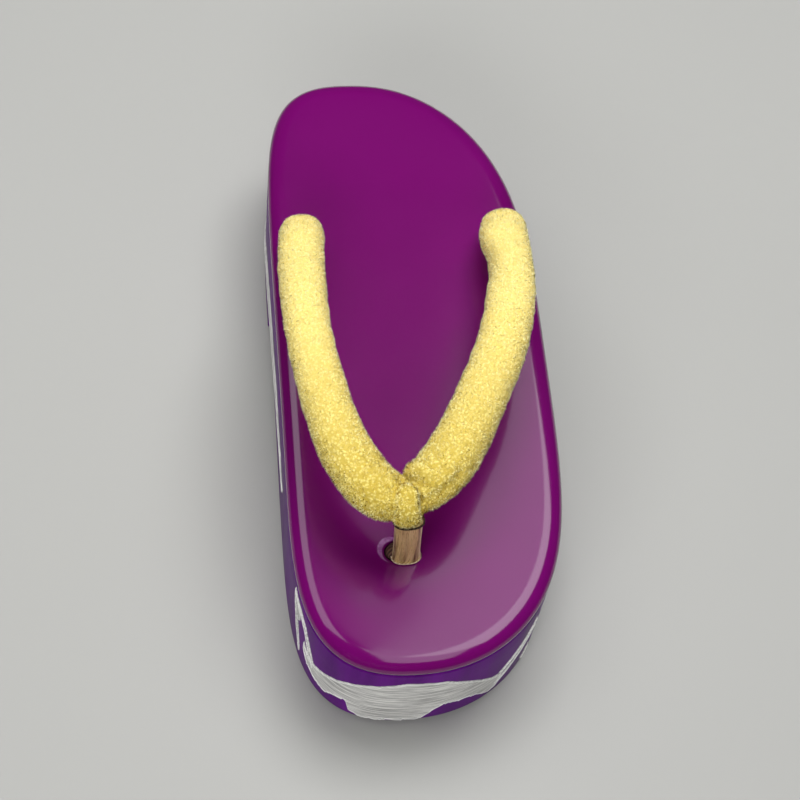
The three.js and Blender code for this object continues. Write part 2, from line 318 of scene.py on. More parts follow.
def spine_of(points):
    return np.stack([np.full(len(points), SPINE_X), np.clip(points[:, 1], -SPINE_REACH, SPINE_REACH)], 1)


def inset_ring(edge, inset):
    return edge + unit(spine_of(edge) - edge) * inset


KEY_PER_TURN = 60        # how fast the key runs on round the spine's two ends


def spine_key(points):
    """Where each point lies round the spine: a running figure that is the same all along a ray."""
    points = np.asarray(points, float)
    base = spine_of(points)
    away = points - base
    angle = np.arctan2(away[:, 1], np.abs(away[:, 0]))
    past_end = np.abs(points[:, 1]) > SPINE_REACH
    key = base[:, 1] + np.where(past_end, KEY_PER_TURN * angle, 0)
    return key, np.linalg.norm(away, axis=1), away[:, 0] >= 0


EDGE_KEY, EDGE_AWAY, EDGE_RIGHT = spine_key(RAW_EDGE)


def inset_of(points):
    """Distance from the outline to each point, along the line to the spine."""
    key, away, right = spine_key(points)
    reach = np.empty(len(key))
    for side in (True, False):
        order = np.argsort(EDGE_KEY[EDGE_RIGHT == side])
        keys = EDGE_KEY[EDGE_RIGHT == side][order]
        reaches = EDGE_AWAY[EDGE_RIGHT == side][order]
        here = right == side
        reach[here] = np.interp(key[here], keys, reaches)
    return reach - away


# ---- splines and sweeps

def spline(rows, per_row):
    """Centripetal Catmull-Rom through rows whose first three columns are a place."""
    rows = np.asarray(rows, float)
    ends = np.vstack([2 * rows[0] - rows[1], rows, 2 * rows[-1] - rows[-2]])
    out = []
    for i in range(1, len(rows)):
        p0, p1, p2, p3 = ends[i - 1:i + 3]
        steps = [np.linalg.norm((b - a)[:3]) ** 0.5 for a, b in ((p0, p1), (p1, p2), (p2, p3))]
        d0, d1, d2 = np.maximum(steps, 1e-4)
        m1 = ((p1 - p0) / d0 - (p2 - p0) / (d0 + d1) + (p2 - p1) / d1) * d1
        m2 = ((p2 - p1) / d1 - (p3 - p1) / (d1 + d2) + (p3 - p2) / d2) * d1
        for step in range(per_row):
            t = step / per_row
            out.append((2 * t**3 - 3 * t**2 + 1) * p1 + (t**3 - 2 * t**2 + t) * m1
                       + (3 * t**2 - 2 * t**3) * p2 + (t**3 - t**2) * m2)
    out.append(rows[-1])
    return np.array(out)


def even(rows, spacing):
    """The same curve with points an even distance apart."""
    arc = arc_of(rows[:, :3])
    at = np.linspace(0, arc[-1], max(int(round(arc[-1] / spacing)), 4) + 1)
    return np.stack([np.interp(at, arc, rows[:, k]) for k in range(rows.shape[1])], 1)


def sweep(rows, sides, square=2.0):
    """Closed skin with an oval section of width column 3 and thickness column 4 along the rows.
    Returns points, faces, and for each point its distances along and round."""
    centres = rows[:, :3]
    tangents = unit(np.gradient(centres, axis=0))
    side = np.array([1.0, 0.0, 0.0])
    turn = np.linspace(0, TURN, sides, endpoint=False)
    cos, sin = np.cos(turn), np.sin(turn)
    cos = np.sign(cos) * np.abs(cos) ** (2 / square)
    sin = np.sign(sin) * np.abs(sin) ** (2 / square)
    arc = arc_of(centres)
    points, uvs = [], []
    for row, tangent, along in zip(rows, tangents, arc):
        side = unit(side - tangent * (side @ tangent))
        up = np.cross(tangent, side)
        points.append(row[:3] + np.outer(cos * row[3] / 2, side) + np.outer(sin * row[4] / 2, up))
        around = turn / TURN * math.pi * (row[3] + row[4]) / 2
        uvs.append(np.stack([np.full(sides, along), around], 1))
    points = np.vstack(points + [rows[:1, :3], rows[-1:, :3]])
    uvs = np.vstack(uvs + [[[0, 0]], [[arc[-1], 0]]])
    count = len(rows)
    faces = strip_faces(count, sides)
    hub = count * sides
    for s in range(sides):
        nxt = (s + 1) % sides
        faces.append((hub, nxt, s))
        faces.append((hub + 1, (count - 1) * sides + s, (count - 1) * sides + nxt))
    return points, faces, uvs


# Along the strap: where its pile starts to coarsen and is coarsest, and where painted shade starts in the
# pits between the tufts and is at its most.
FINE_Y, COARSE_Y = 0.0, -78.0
PIT_SHADE_START_Y, PIT_SHADE_FULL_Y = -48.0, -72.0


# ---- material helpers

class Nodes:
    """Short names for building one node material."""

    def __init__(self, name):
        self.material = bpy.data.materials.new(name)
        self.material.use_nodes = True
        self.tree = self.material.node_tree
        self.shader = self.tree.nodes["Principled BSDF"]
        self.place = self.add("ShaderNodeTexCoord", {})["Object"]

    def put(self, target, value):
        if isinstance(value, bpy.types.NodeSocket):
            self.tree.links.new(value, target)
        else:
            target.default_value = value

    def add(self, kind, inputs, **settings):
        """The outputs of a new node, its inputs set or linked."""
        node = self.tree.nodes.new(kind)
        for key, value in settings.items():
            setattr(node, key, value)
        for key, value in inputs.items():
            self.put(node.inputs[key], value)
        return node.outputs

    def mapped(self, scale, source=None):
        return self.add("ShaderNodeMapping", {"Vector": source or self.place, "Scale": scale})["Vector"]

    def noise(self, scale, detail=3.0, rough=0.5, source=None):
        inputs = {"Vector": source or self.place, "Scale": scale, "Detail": detail, "Roughness": rough}
        return self.add("ShaderNodeTexNoise", inputs)["Fac"]

    def cells(self, scale):
        return self.add("ShaderNodeTexVoronoi", {"Vector": self.place, "Scale": scale})["Distance"]

    def flow(self):
        """Distances along and round, or round and up, from the mesh."""
        return self.add("ShaderNodeUVMap", {}, uv_map="flow")["UV"]

    def field(self, name):
        return self.add("ShaderNodeAttribute", {}, attribute_name=name)["Fac"]

    def math(self, operation, a, b):
        return self.add("ShaderNodeMath", {0: a, 1: b}, operation=operation)[0]

    def ramp(self, value, low, high, from_low=0.0, from_high=1.0):
        limits = {"From Min": from_low, "From Max": from_high, "To Min": low, "To Max": high}
        return self.add("ShaderNodeMapRange", {"Value": value, **limits})["Result"]

    def distance_from(self, plan):
        """Plan distance, in metres, from a point given in millimetres."""
        ends = {0: self.mapped((1, 1, 0)), 1: (plan[0] * MM, plan[1] * MM, 0)}
        return self.add("ShaderNodeVectorMath", ends, operation="DISTANCE")["Value"]

    def mix(self, factor, a, b):
        return self.add("ShaderNodeMix", {0: factor, 6: a, 7: b}, data_type="RGBA")[2]

    def bump(self, height, strength, distance):
        inputs = {"Strength": strength, "Distance": distance, "Height": height}
        self.put(self.shader.inputs["Normal"], self.add("ShaderNodeBump", inputs)["Normal"])

    def set(self, **values):
        for key, value in values.items():
            self.put(self.shader.inputs[key.replace("_", " ")], value)


def rgb(red, green, blue):
    """Linear colour from 0-255 screen values."""
    def lin(c):
        c /= 255
        return c / 12.92 if c <= 0.04045 else ((c + 0.055) / 1.055) ** 2.4
    return (lin(red), lin(green), lin(blue), 1.0)


# A painted highlight: the pale crescent of reflected light on the front hole's lip, painted into the
# coat's colour, lies inside one circle and outside another.
PAINTED_GLINT_OUTER = {"centre": (-15.1, -78.1), "radius": 4.9}
PAINTED_GLINT_INNER = {"centre": (-14.0, -79.0), "radius": 4.1}
PAINTED_GLINT_SOFT = 0.4


def plum_material():
    n = Nodes("plum_coat")
    cloud = n.noise(14, 4)
    colour = n.mix(n.ramp(cloud, 0, 1, 0.35, 0.65), rgb(96, 2, 86), rgb(103, 3, 92))
    smear = n.noise(38, 4, 0.6)
    # Painted highlight: the lip's pale crescent of reflected light, mixed into the plum colour.
    outer, inner = PAINTED_GLINT_OUTER["radius"], PAINTED_GLINT_INNER["radius"]
    within = n.ramp(n.distance_from(PAINTED_GLINT_OUTER["centre"]), 1, 0, (outer - PAINTED_GLINT_SOFT) * MM, outer * MM)
    beyond = n.ramp(n.distance_from(PAINTED_GLINT_INNER["centre"]), 0, 1, inner * MM, (inner + PAINTED_GLINT_SOFT) * MM)
    patchy = n.ramp(n.noise(700, 3), 0.55, 1, 0.4, 0.6)
    painted_glint = n.math("MULTIPLY", n.math("MULTIPLY", within, beyond), patchy)
    colour = n.mix(painted_glint, colour, rgb(158, 104, 158))
    n.set(Base_Color=colour, Roughness=n.ramp(smear, 0.1, 0.18, 0.3, 0.7), Specular_IOR_Level=0.08)
    n.set(Coat_Weight=1.0, Coat_Roughness=0.105, Coat_IOR=1.5)
    n.bump(n.math("ADD", n.math("MULTIPLY", n.noise(2400, 2), 0.25), n.noise(260, 3)), 0.04, 0.0004)
    return n.material


def violet_material():
    n = Nodes("violet_lacquer")
    grain = n.noise(90, 5, 0.6, n.mapped((1, 1, 0.12)))
    colour = n.mix(n.ramp(grain, 0, 1, 0.3, 0.7), rgb(74, 9, 98), rgb(104, 26, 132))
    n.set(Base_Color=colour, Roughness=n.ramp(grain, 0.3, 0.42, 0.3, 0.7), Specular_IOR_Level=0.03)
    n.set(Coat_Weight=0.02, Coat_Roughness=0.15, Coat_IOR=1.4)
    n.bump(n.math("ADD", n.noise(500, 3), grain), 0.08, 0.0004)
    return n.material


def silver_material():
    n = Nodes("silver_paint")
    flow = n.flow()
    streak = n.noise(1.0, 5, 0.65, n.mapped((0.06, 1.5, 1), flow))
    edge = n.field("rim")
    base = n.mix(n.ramp(streak, 0, 1, 0.38, 0.6), rgb(136, 135, 134), rgb(236, 235, 231))
    colour = n.mix(n.math("MULTIPLY", edge, 0.85), base, rgb(254, 254, 252))
    n.set(Base_Color=colour, Metallic=0.1, Roughness=n.ramp(streak, 0.35, 0.55, 0.3, 0.7))
    n.bump(streak, 0.35, 0.0003)
    return n.material


def toe_share(n, start=FINE_Y, end=COARSE_Y):
    """0 on the heel's side of the first place along the shoe, 1 on the toe's side of the second."""
    along = n.add("ShaderNodeSeparateXYZ", {0: n.place})["Y"]
    return n.ramp(along, 1, 0, end * MM, start * MM)


def pile_material():
    n = Nodes("pile_fabric")
    tufts = n.cells(900)
    clump = n.noise(420, 4, 0.65)
    depth = n.math("MULTIPLY", n.ramp(tufts, 1, 0, 0.0, 0.55), n.ramp(clump, 0.45, 1, 0.3, 0.6))
    # The skin is darker where it lies deep between the tufts, and darker still towards the toe: painted
    # shade in the pits.
    fine = n.mix(depth, rgb(228, 206, 120), rgb(250, 238, 162))
    coarse = n.mix(depth, rgb(186, 162, 66), rgb(252, 238, 146))
    n.set(Base_Color=n.mix(toe_share(n), fine, coarse), Roughness=0.95, Specular_IOR_Level=0.08)
    n.bump(n.math("ADD", depth, n.math("MULTIPLY", clump, 0.7)), 0.5, 0.0007)
    return n.material


def fibre_material():
    n = Nodes("pile_fibre")
    tip = n.field("tip")
    tuft = n.field("tuft")
    toe = toe_share(n)
    bright = n.mix(tuft, rgb(255, 248, 186), rgb(255, 253, 214))
    bright = n.mix(toe, bright, n.mix(tuft, rgb(255, 250, 176), rgb(255, 254, 208)))
    # The fibres are darker at the root than at the tip: painted shade among the fibres, which cast no
    # shadows.
    root = n.mix(toe, rgb(246, 228, 144), rgb(250, 232, 140))
    colour = n.mix(n.ramp(tip, 0, 1, 0.0, 0.7), root, bright)
    # Dark-toned tufts turn dark brown towards the toe, and so do tufts along the creases: painted shade in
    # the pits and creases.
    pit_shade = n.math("MULTIPLY", n.ramp(tuft, 1, 0, 0.18, 0.4), toe_share(n, PIT_SHADE_START_Y, PIT_SHADE_FULL_Y))
    n.set(Base_Color=n.mix(pit_shade, colour, rgb(134, 100, 28)), Roughness=0.9, Specular_IOR_Level=0.08)
    n.set(Sheen_Weight=0.12, Sheen_Roughness=0.5, Sheen_Tint=rgb(255, 238, 140))
    return n.material


def satin_material():
    n = Nodes("satin_sleeve")
    flow = n.flow()
    thread = n.noise(1.0, 3, 0.6, n.mapped((0.12, 2.4, 1), flow))
    broad = n.noise(1.0, 2, 0.5, n.mapped((0.02, 0.42, 1), flow))
    weave = n.noise(1.0, 2, 0.5, n.mapped((6.0, 6.0, 1), flow))
    warm = n.mix(n.ramp(broad, 0, 1, 0.4, 0.56), rgb(118, 86, 44), rgb(206, 178, 116))
    # The pale streaks along the threads are painted sheen: highlights on the satin.
    colour = n.mix(n.ramp(thread, 0, 0.45, 0.5, 0.72), warm, rgb(236, 218, 166))
    n.set(Base_Color=colour, Roughness=n.ramp(thread, 0.22, 0.36, 0.3, 0.7), Metallic=0.4)
    n.set(Sheen_Weight=0.5, Sheen_Roughness=0.35, Sheen_Tint=rgb(236, 214, 170))
    n.bump(n.math("ADD", thread, n.math("MULTIPLY", weave, 0.4)), 0.12, 0.0001)
    return n.material


def twisted_material(name, dark, light):
    n = Nodes(name)
    inputs = {"Vector": n.mapped((0.5, 0.5, 1), n.flow()), "Scale": 0.9, "Distortion": 1.5}
    twist = n.add("ShaderNodeTexWave", inputs, wave_type="BANDS", bands_direction="DIAGONAL")["Fac"]
    n.set(Base_Color=n.mix(twist, dark, light), Roughness=0.9)
    n.bump(twist, 0.6, 0.0006)
    return n.material


PLUM, VIOLET, SILVER = plum_material(), violet_material(), silver_material()
PILE, FIBRE, SATIN = pile_material(), fibre_material(), satin_material()
COTTON = twisted_material("cotton_cord", rgb(64, 44, 40), rgb(104, 76, 62))
# A dark colour for the ring at the toe post's head: painted shade.
SHADOW_RING = twisted_material("head_shadow_ring", rgb(30, 18, 12), rgb(60, 40, 24))
HEM = twisted_material("hem_thread", rgb(188, 158, 132), rgb(226, 204, 176))


# ---- footbed

def hole_axis(hole, height):
    """Plan centre of a hole's axis at a height."""
    share = 1 - height / rim_plane(hole["y"])
    foot = hole["foot"]
    return np.array([hole["x"] + (foot[0] - hole["x"]) * share, hole["y"] + (foot[1] - hole["y"]) * share])


def rim_fall(inset):
    """Drop below the rim plane at a distance from the outline: a quarter of an ellipse."""
    return RIM_DROP * (1 - np.sqrt(1 - np.clip(1 - inset / RIM_REACH, 0, 1) ** 2))


def surface(points):
    """Height of the footbed's top at plan points, without the holes."""
    points = np.asarray(points, float)
    inset = np.clip(inset_of(points), 0, None)
    share = np.clip((inset - DISH_START) / (DISH_END - DISH_START), 0, 1)
    dish = DISH_DEPTH * (1 - np.cos(math.pi * share)) / 2
    return rim_plane(points[:, 1]) - rim_fall(inset) - dish


def lifted(plan, heights):
    """Plan points at heights."""
    return np.column_stack([np.asarray(plan)[:, :2], heights])


LIP_FLAT, LIP_CONE, LIP_TURN = 0.15, 0.14, 6


def lip_drop(share):
    """Fall of a hole's rounded lip, as a share of its size, at a share of the way in: level, then a
    gentle countersink, then a quick turn down."""
    cone = np.clip(share - LIP_FLAT, 0, 1) / (1 - LIP_FLAT)
    return LIP_CONE * cone + (1 - LIP_CONE) * (1 - math.sqrt(1 - cone**LIP_TURN))


EDGE_COUNT = 480
TOP_RINGS = (0.8, 1.3, 1.9, 2.6, 3.4, 4.3, 5.3, 6.4, 7.6, 9.0, 10.5)
EDGE_RINGS = (0.55, 0.33, 0.18, 0.08, 0.02, 0.0)
HOLE_SIDES = 72
HOLE_RINGS = (0.7, 1.5, 2.5, 3.7)
TOP_STEP, TOP_ROWS, TOP_HALF_WIDTH = 2.2, 66, 52


def within_circles(centres, radii):
    """A test of whether a plan point lies in one of some circles."""
    return lambda point: bool((np.linalg.norm(point - centres, axis=1) < radii - 0.05).any())


def top_grid():
    """Plan points in staggered rows over the middle of the footbed."""
    grid = [(x + (row % 2) * TOP_STEP / 2, row * TOP_STEP * 0.866)
            for row in range(-TOP_ROWS, TOP_ROWS + 1)
            for x in np.arange(-TOP_HALF_WIDTH, TOP_HALF_WIDTH, TOP_STEP)]
    grid = np.array(grid)
    return grid[inset_of(grid) > TOP_RINGS[-1] + 1.0]


def build_footbed():
    edge = edge_at(np.linspace(0, PERIMETER, EDGE_COUNT, endpoint=False))
    circle = np.linspace(0, TURN, HOLE_SIDES, endpoint=False)
    spokes = np.stack([np.cos(circle), np.sin(circle)], 1)
    holes = HOLES.values()
    seats = np.array([hole_axis(hole, rim_plane(hole["y"]) - DISH_DEPTH / 2) for hole in holes])
    reach = np.array([hole["mouth"] + hole["lip"] for hole in holes])

    def clear_of_holes(points, margin):
        gap = np.linalg.norm(points[:, None] - seats[None], axis=2) - reach[None]
        return points[(gap > margin).all(1)]

    extra = [clear_of_holes(inset_ring(edge, inset), HOLE_RINGS[-1] + 0.5) for inset in TOP_RINGS[1:]]
    extra.append(clear_of_holes(top_grid(), HOLE_RINGS[-1] + 0.8))
    loops = [inset_ring(edge, TOP_RINGS[0])]
    parts = []
    underside = [inset_ring(edge, RIM_TUCK)]
    for seat, far, hole in zip(seats, reach, holes):
        loops.append(seat + spokes * far)
        for more in HOLE_RINGS:
            ring = seat + spokes * (far + more)
            extra.append(ring[inset_of(ring) > TOP_RINGS[0] + 0.4])
        level = surface(loops[-1])
        rings = [lifted(loops[-1], level)]
        for turn in np.linspace(0, math.pi / 2, 15)[1:]:
            share = math.sin(turn)
            plan = seat + spokes * (far - hole["lip"] * share)
            rings.append(lifted(plan, level - hole["lip"] * lip_drop(share)))
        low_centre = hole_axis(hole, board_bottom(hole["y"]))
        plan = low_centre + spokes * hole["mouth"]
        rings.append(lifted(plan, board_bottom(plan[:, 1])))
        underside.append(plan)
        parts.append((np.vstack(rings), strip_faces(len(rings), HOLE_SIDES)))

    plan, faces = fill_plan(loops, np.vstack(extra), within_circles(seats, reach))
    parts.append((lifted(plan, surface(plan)), faces))

    rings = [lifted(loops[0], surface(loops[0]))]
    for inset in EDGE_RINGS:
        plan = inset_ring(edge, inset)
        rings.append(lifted(plan, rim_plane(plan[:, 1]) - rim_fall(inset)))
    for turn in (30, 60, 90):
        across, down = rounding(turn)
        plan = inset_ring(edge, RIM_TUCK * across)
        low = (BOARD_THICKNESS - RIM_DROP) * down
        rings.append(lifted(plan, rim_plane(plan[:, 1]) - RIM_DROP - low))
    parts.append((np.vstack(rings), [f[::-1] for f in strip_faces(len(rings), EDGE_COUNT)]))

    low_seats = np.array([hole_axis(hole, board_bottom(hole["y"])) for hole in holes])
    mouths = np.array([hole["mouth"] for hole in holes])
    plan, faces = fill_plan(underside, hollow=within_circles(low_seats, mouths))
    parts.append((lifted(plan, board_bottom(plan[:, 1])), [f[::-1] for f in faces]))
    points, faces = join_meshes(parts)
    obj = make_object("footbed_coat", points, faces, PLUM, "plum_coat")
    sharpen(obj, 50)
    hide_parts("footbed")


# ---- platform

def bezier(points, steps):
    """A Bezier curve with any number of control points."""
    t = np.linspace(0, 1, steps)[:, None]
    last = len(points) - 1
    return sum(math.comb(last, k) * (1 - t)**(last - k) * t**k * np.array(point, float)
               for k, point in enumerate(points))


def underside_profile():
    """Side profile of the underside as y, z rows, the toe's tip first."""
    face_y = HEEL_FRONT_Y - HEEL_FACE_LEAN
    heel = [(130.0, 0.0), (HEEL_FRONT_Y + 1.2, 0.0)]
    arris = [(HEEL_FRONT_Y + 0.5, 0.12), (HEEL_FRONT_Y + 0.1, 0.5)]
    wall_top = (face_y, ARCH_RISE - ARCH_CORNER)
    arch_start = (face_y - ARCH_CORNER, ARCH_RISE)
    wall = np.linspace((HEEL_FRONT_Y - 0.02, 1.2), wall_top, 5)[:-1]
    corner = bezier((wall_top, (face_y, ARCH_RISE), arch_start), 9)
    arch = bezier((arch_start, (18, ARCH_RISE), (-8, 2.0), (FOREFOOT_REAR_Y, 0.0)), 40)
    spring_middle = (SPRING_START_Y + SPRING_END_Y) / 2
    spring = bezier(((SPRING_START_Y, 0.0), (spring_middle, 0.0), (SPRING_END_Y, SPRING_END_Z)), 14)
    rows = np.vstack([heel, arris, wall, corner, arch[1:], spring, [(-135.0, SPRING_END_Z + 2)]])
    return rows[np.argsort(rows[:, 0], kind="stable")]


PROFILE = underside_profile()
PROFILE_ROWS = PROFILE[np.abs(PROFILE[:, 0]) < 118, 0]
ACROSS_STEP = 6
ROUND_TURNS = (0, 22.5, 45, 67.5, 90)


def ground_side(y):
    return np.interp(y, PROFILE[:, 0], PROFILE[:, 1])


def block_edge():
    """Outline points: evenly spaced, plus one wherever the underside's profile has a row."""
    arcs = list(np.linspace(0, PERIMETER, 420, endpoint=False))
    for y in PROFILE_ROWS:
        above = RAW_EDGE[:, 1] > y
        for k in np.nonzero(above != np.roll(above, -1))[0]:
            y0, y1 = RAW_EDGE[k, 1], RAW_EDGE[(k + 1) % len(RAW_EDGE), 1]
            arcs.append(RAW_ARC[k] + RAW_STEPS[k] * (y - y0) / (y1 - y0))
    arcs = np.sort(np.array(arcs))
    kept = [arcs[0]]
    for arc in arcs[1:]:
        if arc - kept[-1] > 0.02:
            kept.append(arc)
    return edge_at(np.array(kept))


def underside_rows():
    """Plan points in rows across the underside, so that each stretch of it is straight across."""
    rows = np.unique(np.round(PROFILE_ROWS, 3))
    rows = np.concatenate([rows, np.arange(50, 118, ACROSS_STEP), np.arange(-88, -40, ACROSS_STEP)])
    cross = np.array([(x, y) for y in rows for x in np.arange(-48, 49, ACROSS_STEP)])
    return cross[inset_of(cross) > 2.5]


def build_platform():
    edge = block_edge()
    count = len(edge)
    level = ground_side(edge[:, 1])
    rings = []
    for turn in ROUND_TURNS[::-1]:
        across, down = rounding(turn)
        rings.append(lifted(inset_ring(edge, FOOT_EDGE * across), level + FOOT_EDGE * (1 - down)))
    top = block_top(edge[:, 1])
    for share in (0.25, 0.5, 0.75):
        rings.append(lifted(edge, level + FOOT_EDGE + (top - SHOULDER - level - FOOT_EDGE) * share))
    for turn in ROUND_TURNS:
        across, up = rounding(turn)
        plan = inset_ring(edge, SHOULDER * across)
        rings.append(lifted(plan, block_top(plan[:, 1]) - SHOULDER * (1 - up)))
    parts = [(np.vstack(rings), strip_faces(len(rings), count))]
    low, high = rings[0], rings[-1]
    plan, faces = fill_plan([high])
    parts.append((lifted(plan, block_top(plan[:, 1])), faces))
    plan, faces = fill_plan([low], underside_rows())
    heights = {(round(x, 4), round(y, 4)): z for x, y, z in low}
    z = [heights.get((round(x, 4), round(y, 4)), ground_side(y)) for x, y in plan]
    parts.append((lifted(plan, z), [f[::-1] for f in faces]))
    points, faces = join_meshes(parts)
    obj = make_object("platform_block", points, faces, VIOLET, "violet_lacquer")
    cutters = []
    for name, hole in HOLES.items():
        rows = []
        for height, radius in ((-5, hole["recess"]), (hole["roof"], hole["recess"]),
                               (hole["roof"] + 0.01, CHANNEL_RADIUS), (TOP_HEIGHT + 2, CHANNEL_RADIUS)):
            centre = hole_axis(hole, height)
            rows.append((centre[0], centre[1], height, 2 * radius, 2 * radius))
        points, faces, _ = sweep(np.array(rows), 48)
        cutters.append(make_object("cutter_" + name, points, faces, VIOLET, None))
    cut(obj, cutters)
    sharpen(obj, 32)
    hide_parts("platform")


# ---- silver paint

PAINT_PROUD = 0.16       # how far the paint stands out from the wall
PAINT_RIM = 0.34         # how much more its thick edge does
PAINT_SUNK = 0.05        # how deep its margin ends in the wall
PAINT_BACK = 0.25        # how deep its back lies


def paint_patch(name, rows, across=26, spacing=0.7, rag=0.5, rim=0.9, seed=0.0):
    """Paint on the wall between two edges, with a ragged lower edge and a thick rim."""
    table = np.array(rows, float)
    arc = arc_of(table[:, :2])
    count = max(int(arc[-1] / spacing), 8)
    at = np.linspace(0, arc[-1], count)
    u, high, low = (np.interp(at, arc, table[:, k]) for k in range(3))
    slow = np.sin(at * 0.31 + seed) + np.sin(at * 0.83 + 2 * seed + 1)
    wobble = 0.4 * slow + 0.35 * np.sin(at * 2.1 + 3 * slow) + 0.25 * np.sin(at * 3.7 + 5 * slow + seed)
    low = low + rag * wobble
    high = high + 0.3 * rag * np.roll(wobble, 7)
    outer, back, edge, uvs = [], [], [], []
    walls, out = wall_at(u)
    for k in range(across):
        share = k / (across - 1)
        z = low + (high - low) * share
        reach = np.minimum(share, 1 - share) * np.abs(high - low)
        reach = np.minimum(reach, np.minimum(at, at[-1] - at))
        body = np.clip(reach / 0.25, 0, 1) ** 0.5
        bead = np.exp(-((reach - rim) / (0.55 * rim)) ** 2)
        proud = -PAINT_SUNK + body * (PAINT_PROUD + PAINT_SUNK) + PAINT_RIM * bead
        outer.append(np.column_stack([walls + out * proud[:, None], z]))
        edge.append(bead)
        uvs.append(np.column_stack([u, z]))
        back.append(np.column_stack([walls - out * PAINT_BACK, z]))
    points = np.vstack(outer + back)
    faces = [f[::-1] for f in strip_faces(across, count, closed=False)]
    faces += strip_faces(across, count, closed=False, start=across * count)
    rim_loop = [k * count for k in range(across)] + [(across - 1) * count + i for i in range(1, count)]
    rim_loop += [k * count + count - 1 for k in range(across - 2, -1, -1)] + list(range(count - 2, 0, -1))
    offset = across * count
    for a, b in zip(rim_loop, rim_loop[1:] + rim_loop[:1]):
        faces.append((a, b, b + offset, a + offset))
    obj = make_object(name, points, faces, SILVER, "silver_paint", uvs=np.vstack(uvs + uvs))
    add_field(obj, "rim", np.concatenate(edge + edge))


# Brush strokes. Rows: distance round the outline from the toe's middle, height of the upper edge, height
# of the lower edge.
STROKES = {
    "toe_band": {"across": 44, "rag": 0.9, "rim": 0.8, "rows": (
        (-46.0, 24.0, 18.0), (-42.0, 19.0, 11.0), (-37.4, 19.6, 9.5), (-33.0, 22.2, 7.5),
        (-30.3, 23.8, 8.5), (-26.0, 26.5, 11.0), (-22.4, 29.0, 13.0), (-21.2, 29.6, 5.0),
        (-14.6, 33.0, 2.2), (-2.8, 37.0, 2.6), (5.4, 36.6, 3.6), (11.8, 35.0, 12.5),
        (22.4, 27.0, 12.0), (31.3, 18.0, 4.4), (34.6, 16.6, 7.0), (36.4, 16.2, 13.0),
    )},
    "small_toe_upper_line": {"across": 12, "rag": 0.2, "rim": 0.5, "rows": (
        (34.8, 17.6, 14.8), (42.0, 23.8, 21.6), (49.0, 29.2, 27.4), (54.5, 33.0, 31.6),
    )},
    "small_toe_lower_line": {"across": 12, "rag": 0.2, "rim": 0.5, "rows": (
        (33.4, 9.8, 6.6), (40.0, 15.4, 13.0), (47.0, 21.4, 19.6), (54.5, 27.8, 26.4),
    )},
    "small_toe_dab": {"across": 14, "rag": 0.2, "rim": 0.5, "rows": (
        (49.4, 4.4, 3.0), (52.0, 7.0, 3.6), (54.8, 8.8, 6.8),
    )},
    "fork_inner": {"rag": 0.3, "rim": 0.6, "rows": (
        (-58.1, 43.6, 42.4), (-54.0, 41.0, 37.4), (-50.0, 40.5, 37.0), (-45.5, 37.0, 31.5),
        (-42.0, 29.5, 22.0), (-38.5, 20.5, 13.5),
    )},
    "fork_middle": {"rag": 0.3, "rim": 0.5, "rows": (
        (-58.0, 43.0, 38.0), (-55.5, 39.6, 31.0), (-53.0, 37.6, 27.5), (-50.6, 36.4, 30.5),
    )},
    "fork_outer": {"rag": 0.3, "rim": 0.5, "rows": (
        (-58.4, 43.0, 41.0), (-56.5, 38.0, 29.0), (-54.0, 30.0, 20.0), (-51.0, 19.0, 11.0),
        (-49.1, 10.0, 7.0),
    )},
    "long_big_toe_side": {"rag": 0.5, "rim": 0.8, "rows": (
        (-240.0, 4.6, 2.6), (-228.0, 12.0, 6.0), (-206.0, 26.0, 17.0), (-187.0, 30.0, 18.0),
        (-166.7, 31.0, 19.5), (-143.6, 30.5, 21.5), (-122.4, 28.0, 22.0), (-104.0, 25.0, 22.6),
    )},
}


def mirrored(rows, shift):
    """The same stroke on the shoe's other side."""
    return tuple((-u + shift, high, low) for u, high, low in reversed(rows))


def build_paint():
    strokes = dict(STROKES)
    long_stroke = STROKES["long_big_toe_side"]
    strokes["long_small_toe_side"] = {**long_stroke, "rows": mirrored(long_stroke["rows"], 6.0)}
    for seed, (name, settings) in enumerate(strokes.items()):
        paint_patch("silver_" + name, seed=0.3 + 0.9 * seed, **settings)


# ---- padded strap

# Centre lines, from the holes to the toe post: x, y, lift above the rim's plane, width, thickness.
MEDIAL_LEG = (
    (-37.3, 43.7, -3.0, 8.2, 8.2), (-37.7, 44.2, 2.2, 11.2, 11.2),
    (-38.0, 44.0, 8.8, 16.6, 16.2), (-38.8, 37.4, 15.6, 17.2, 16.6),
    (-39.9, 24.0, 20.9, 17.2, 16.2), (-40.4, 8.0, 26.4, 17.0, 15.8),
    (-40.1, -8.0, 30.4, 16.8, 15.6), (-38.4, -24.0, 32.6, 16.8, 15.6),
    (-35.3, -41.6, 33.0, 17.2, 16.0), (-31.5, -54.7, 32.0, 18.4, 16.8),
    (-25.4, -66.0, 30.7, 18.8, 17.2), (-18.4, -72.9, 29.8, 17.2, 16.4),
    (-13.4, -75.8, 29.4, 12.0, 12.4),
)
LATERAL_LEG = (
    (36.4, 43.9, -3.0, 8.2, 8.2), (36.8, 44.4, 2.2, 11.2, 11.2),
    (36.9, 44.2, 8.8, 17.0, 16.4), (36.0, 36.4, 15.0, 17.8, 17.0),
    (35.2, 22.0, 20.8, 17.8, 16.8), (33.4, 7.6, 26.2, 18.0, 16.6),
    (29.6, -8.4, 30.6, 18.2, 16.6), (24.3, -23.4, 32.8, 18.4, 16.8),
    (17.7, -37.0, 33.2, 18.4, 16.8), (11.2, -49.5, 33.0, 19.0, 17.2),
    (4.4, -60.4, 32.2, 19.4, 17.6), (-3.2, -68.9, 30.9, 18.2, 16.8),
    (-9.0, -74.6, 29.6, 12.0, 12.4),
)
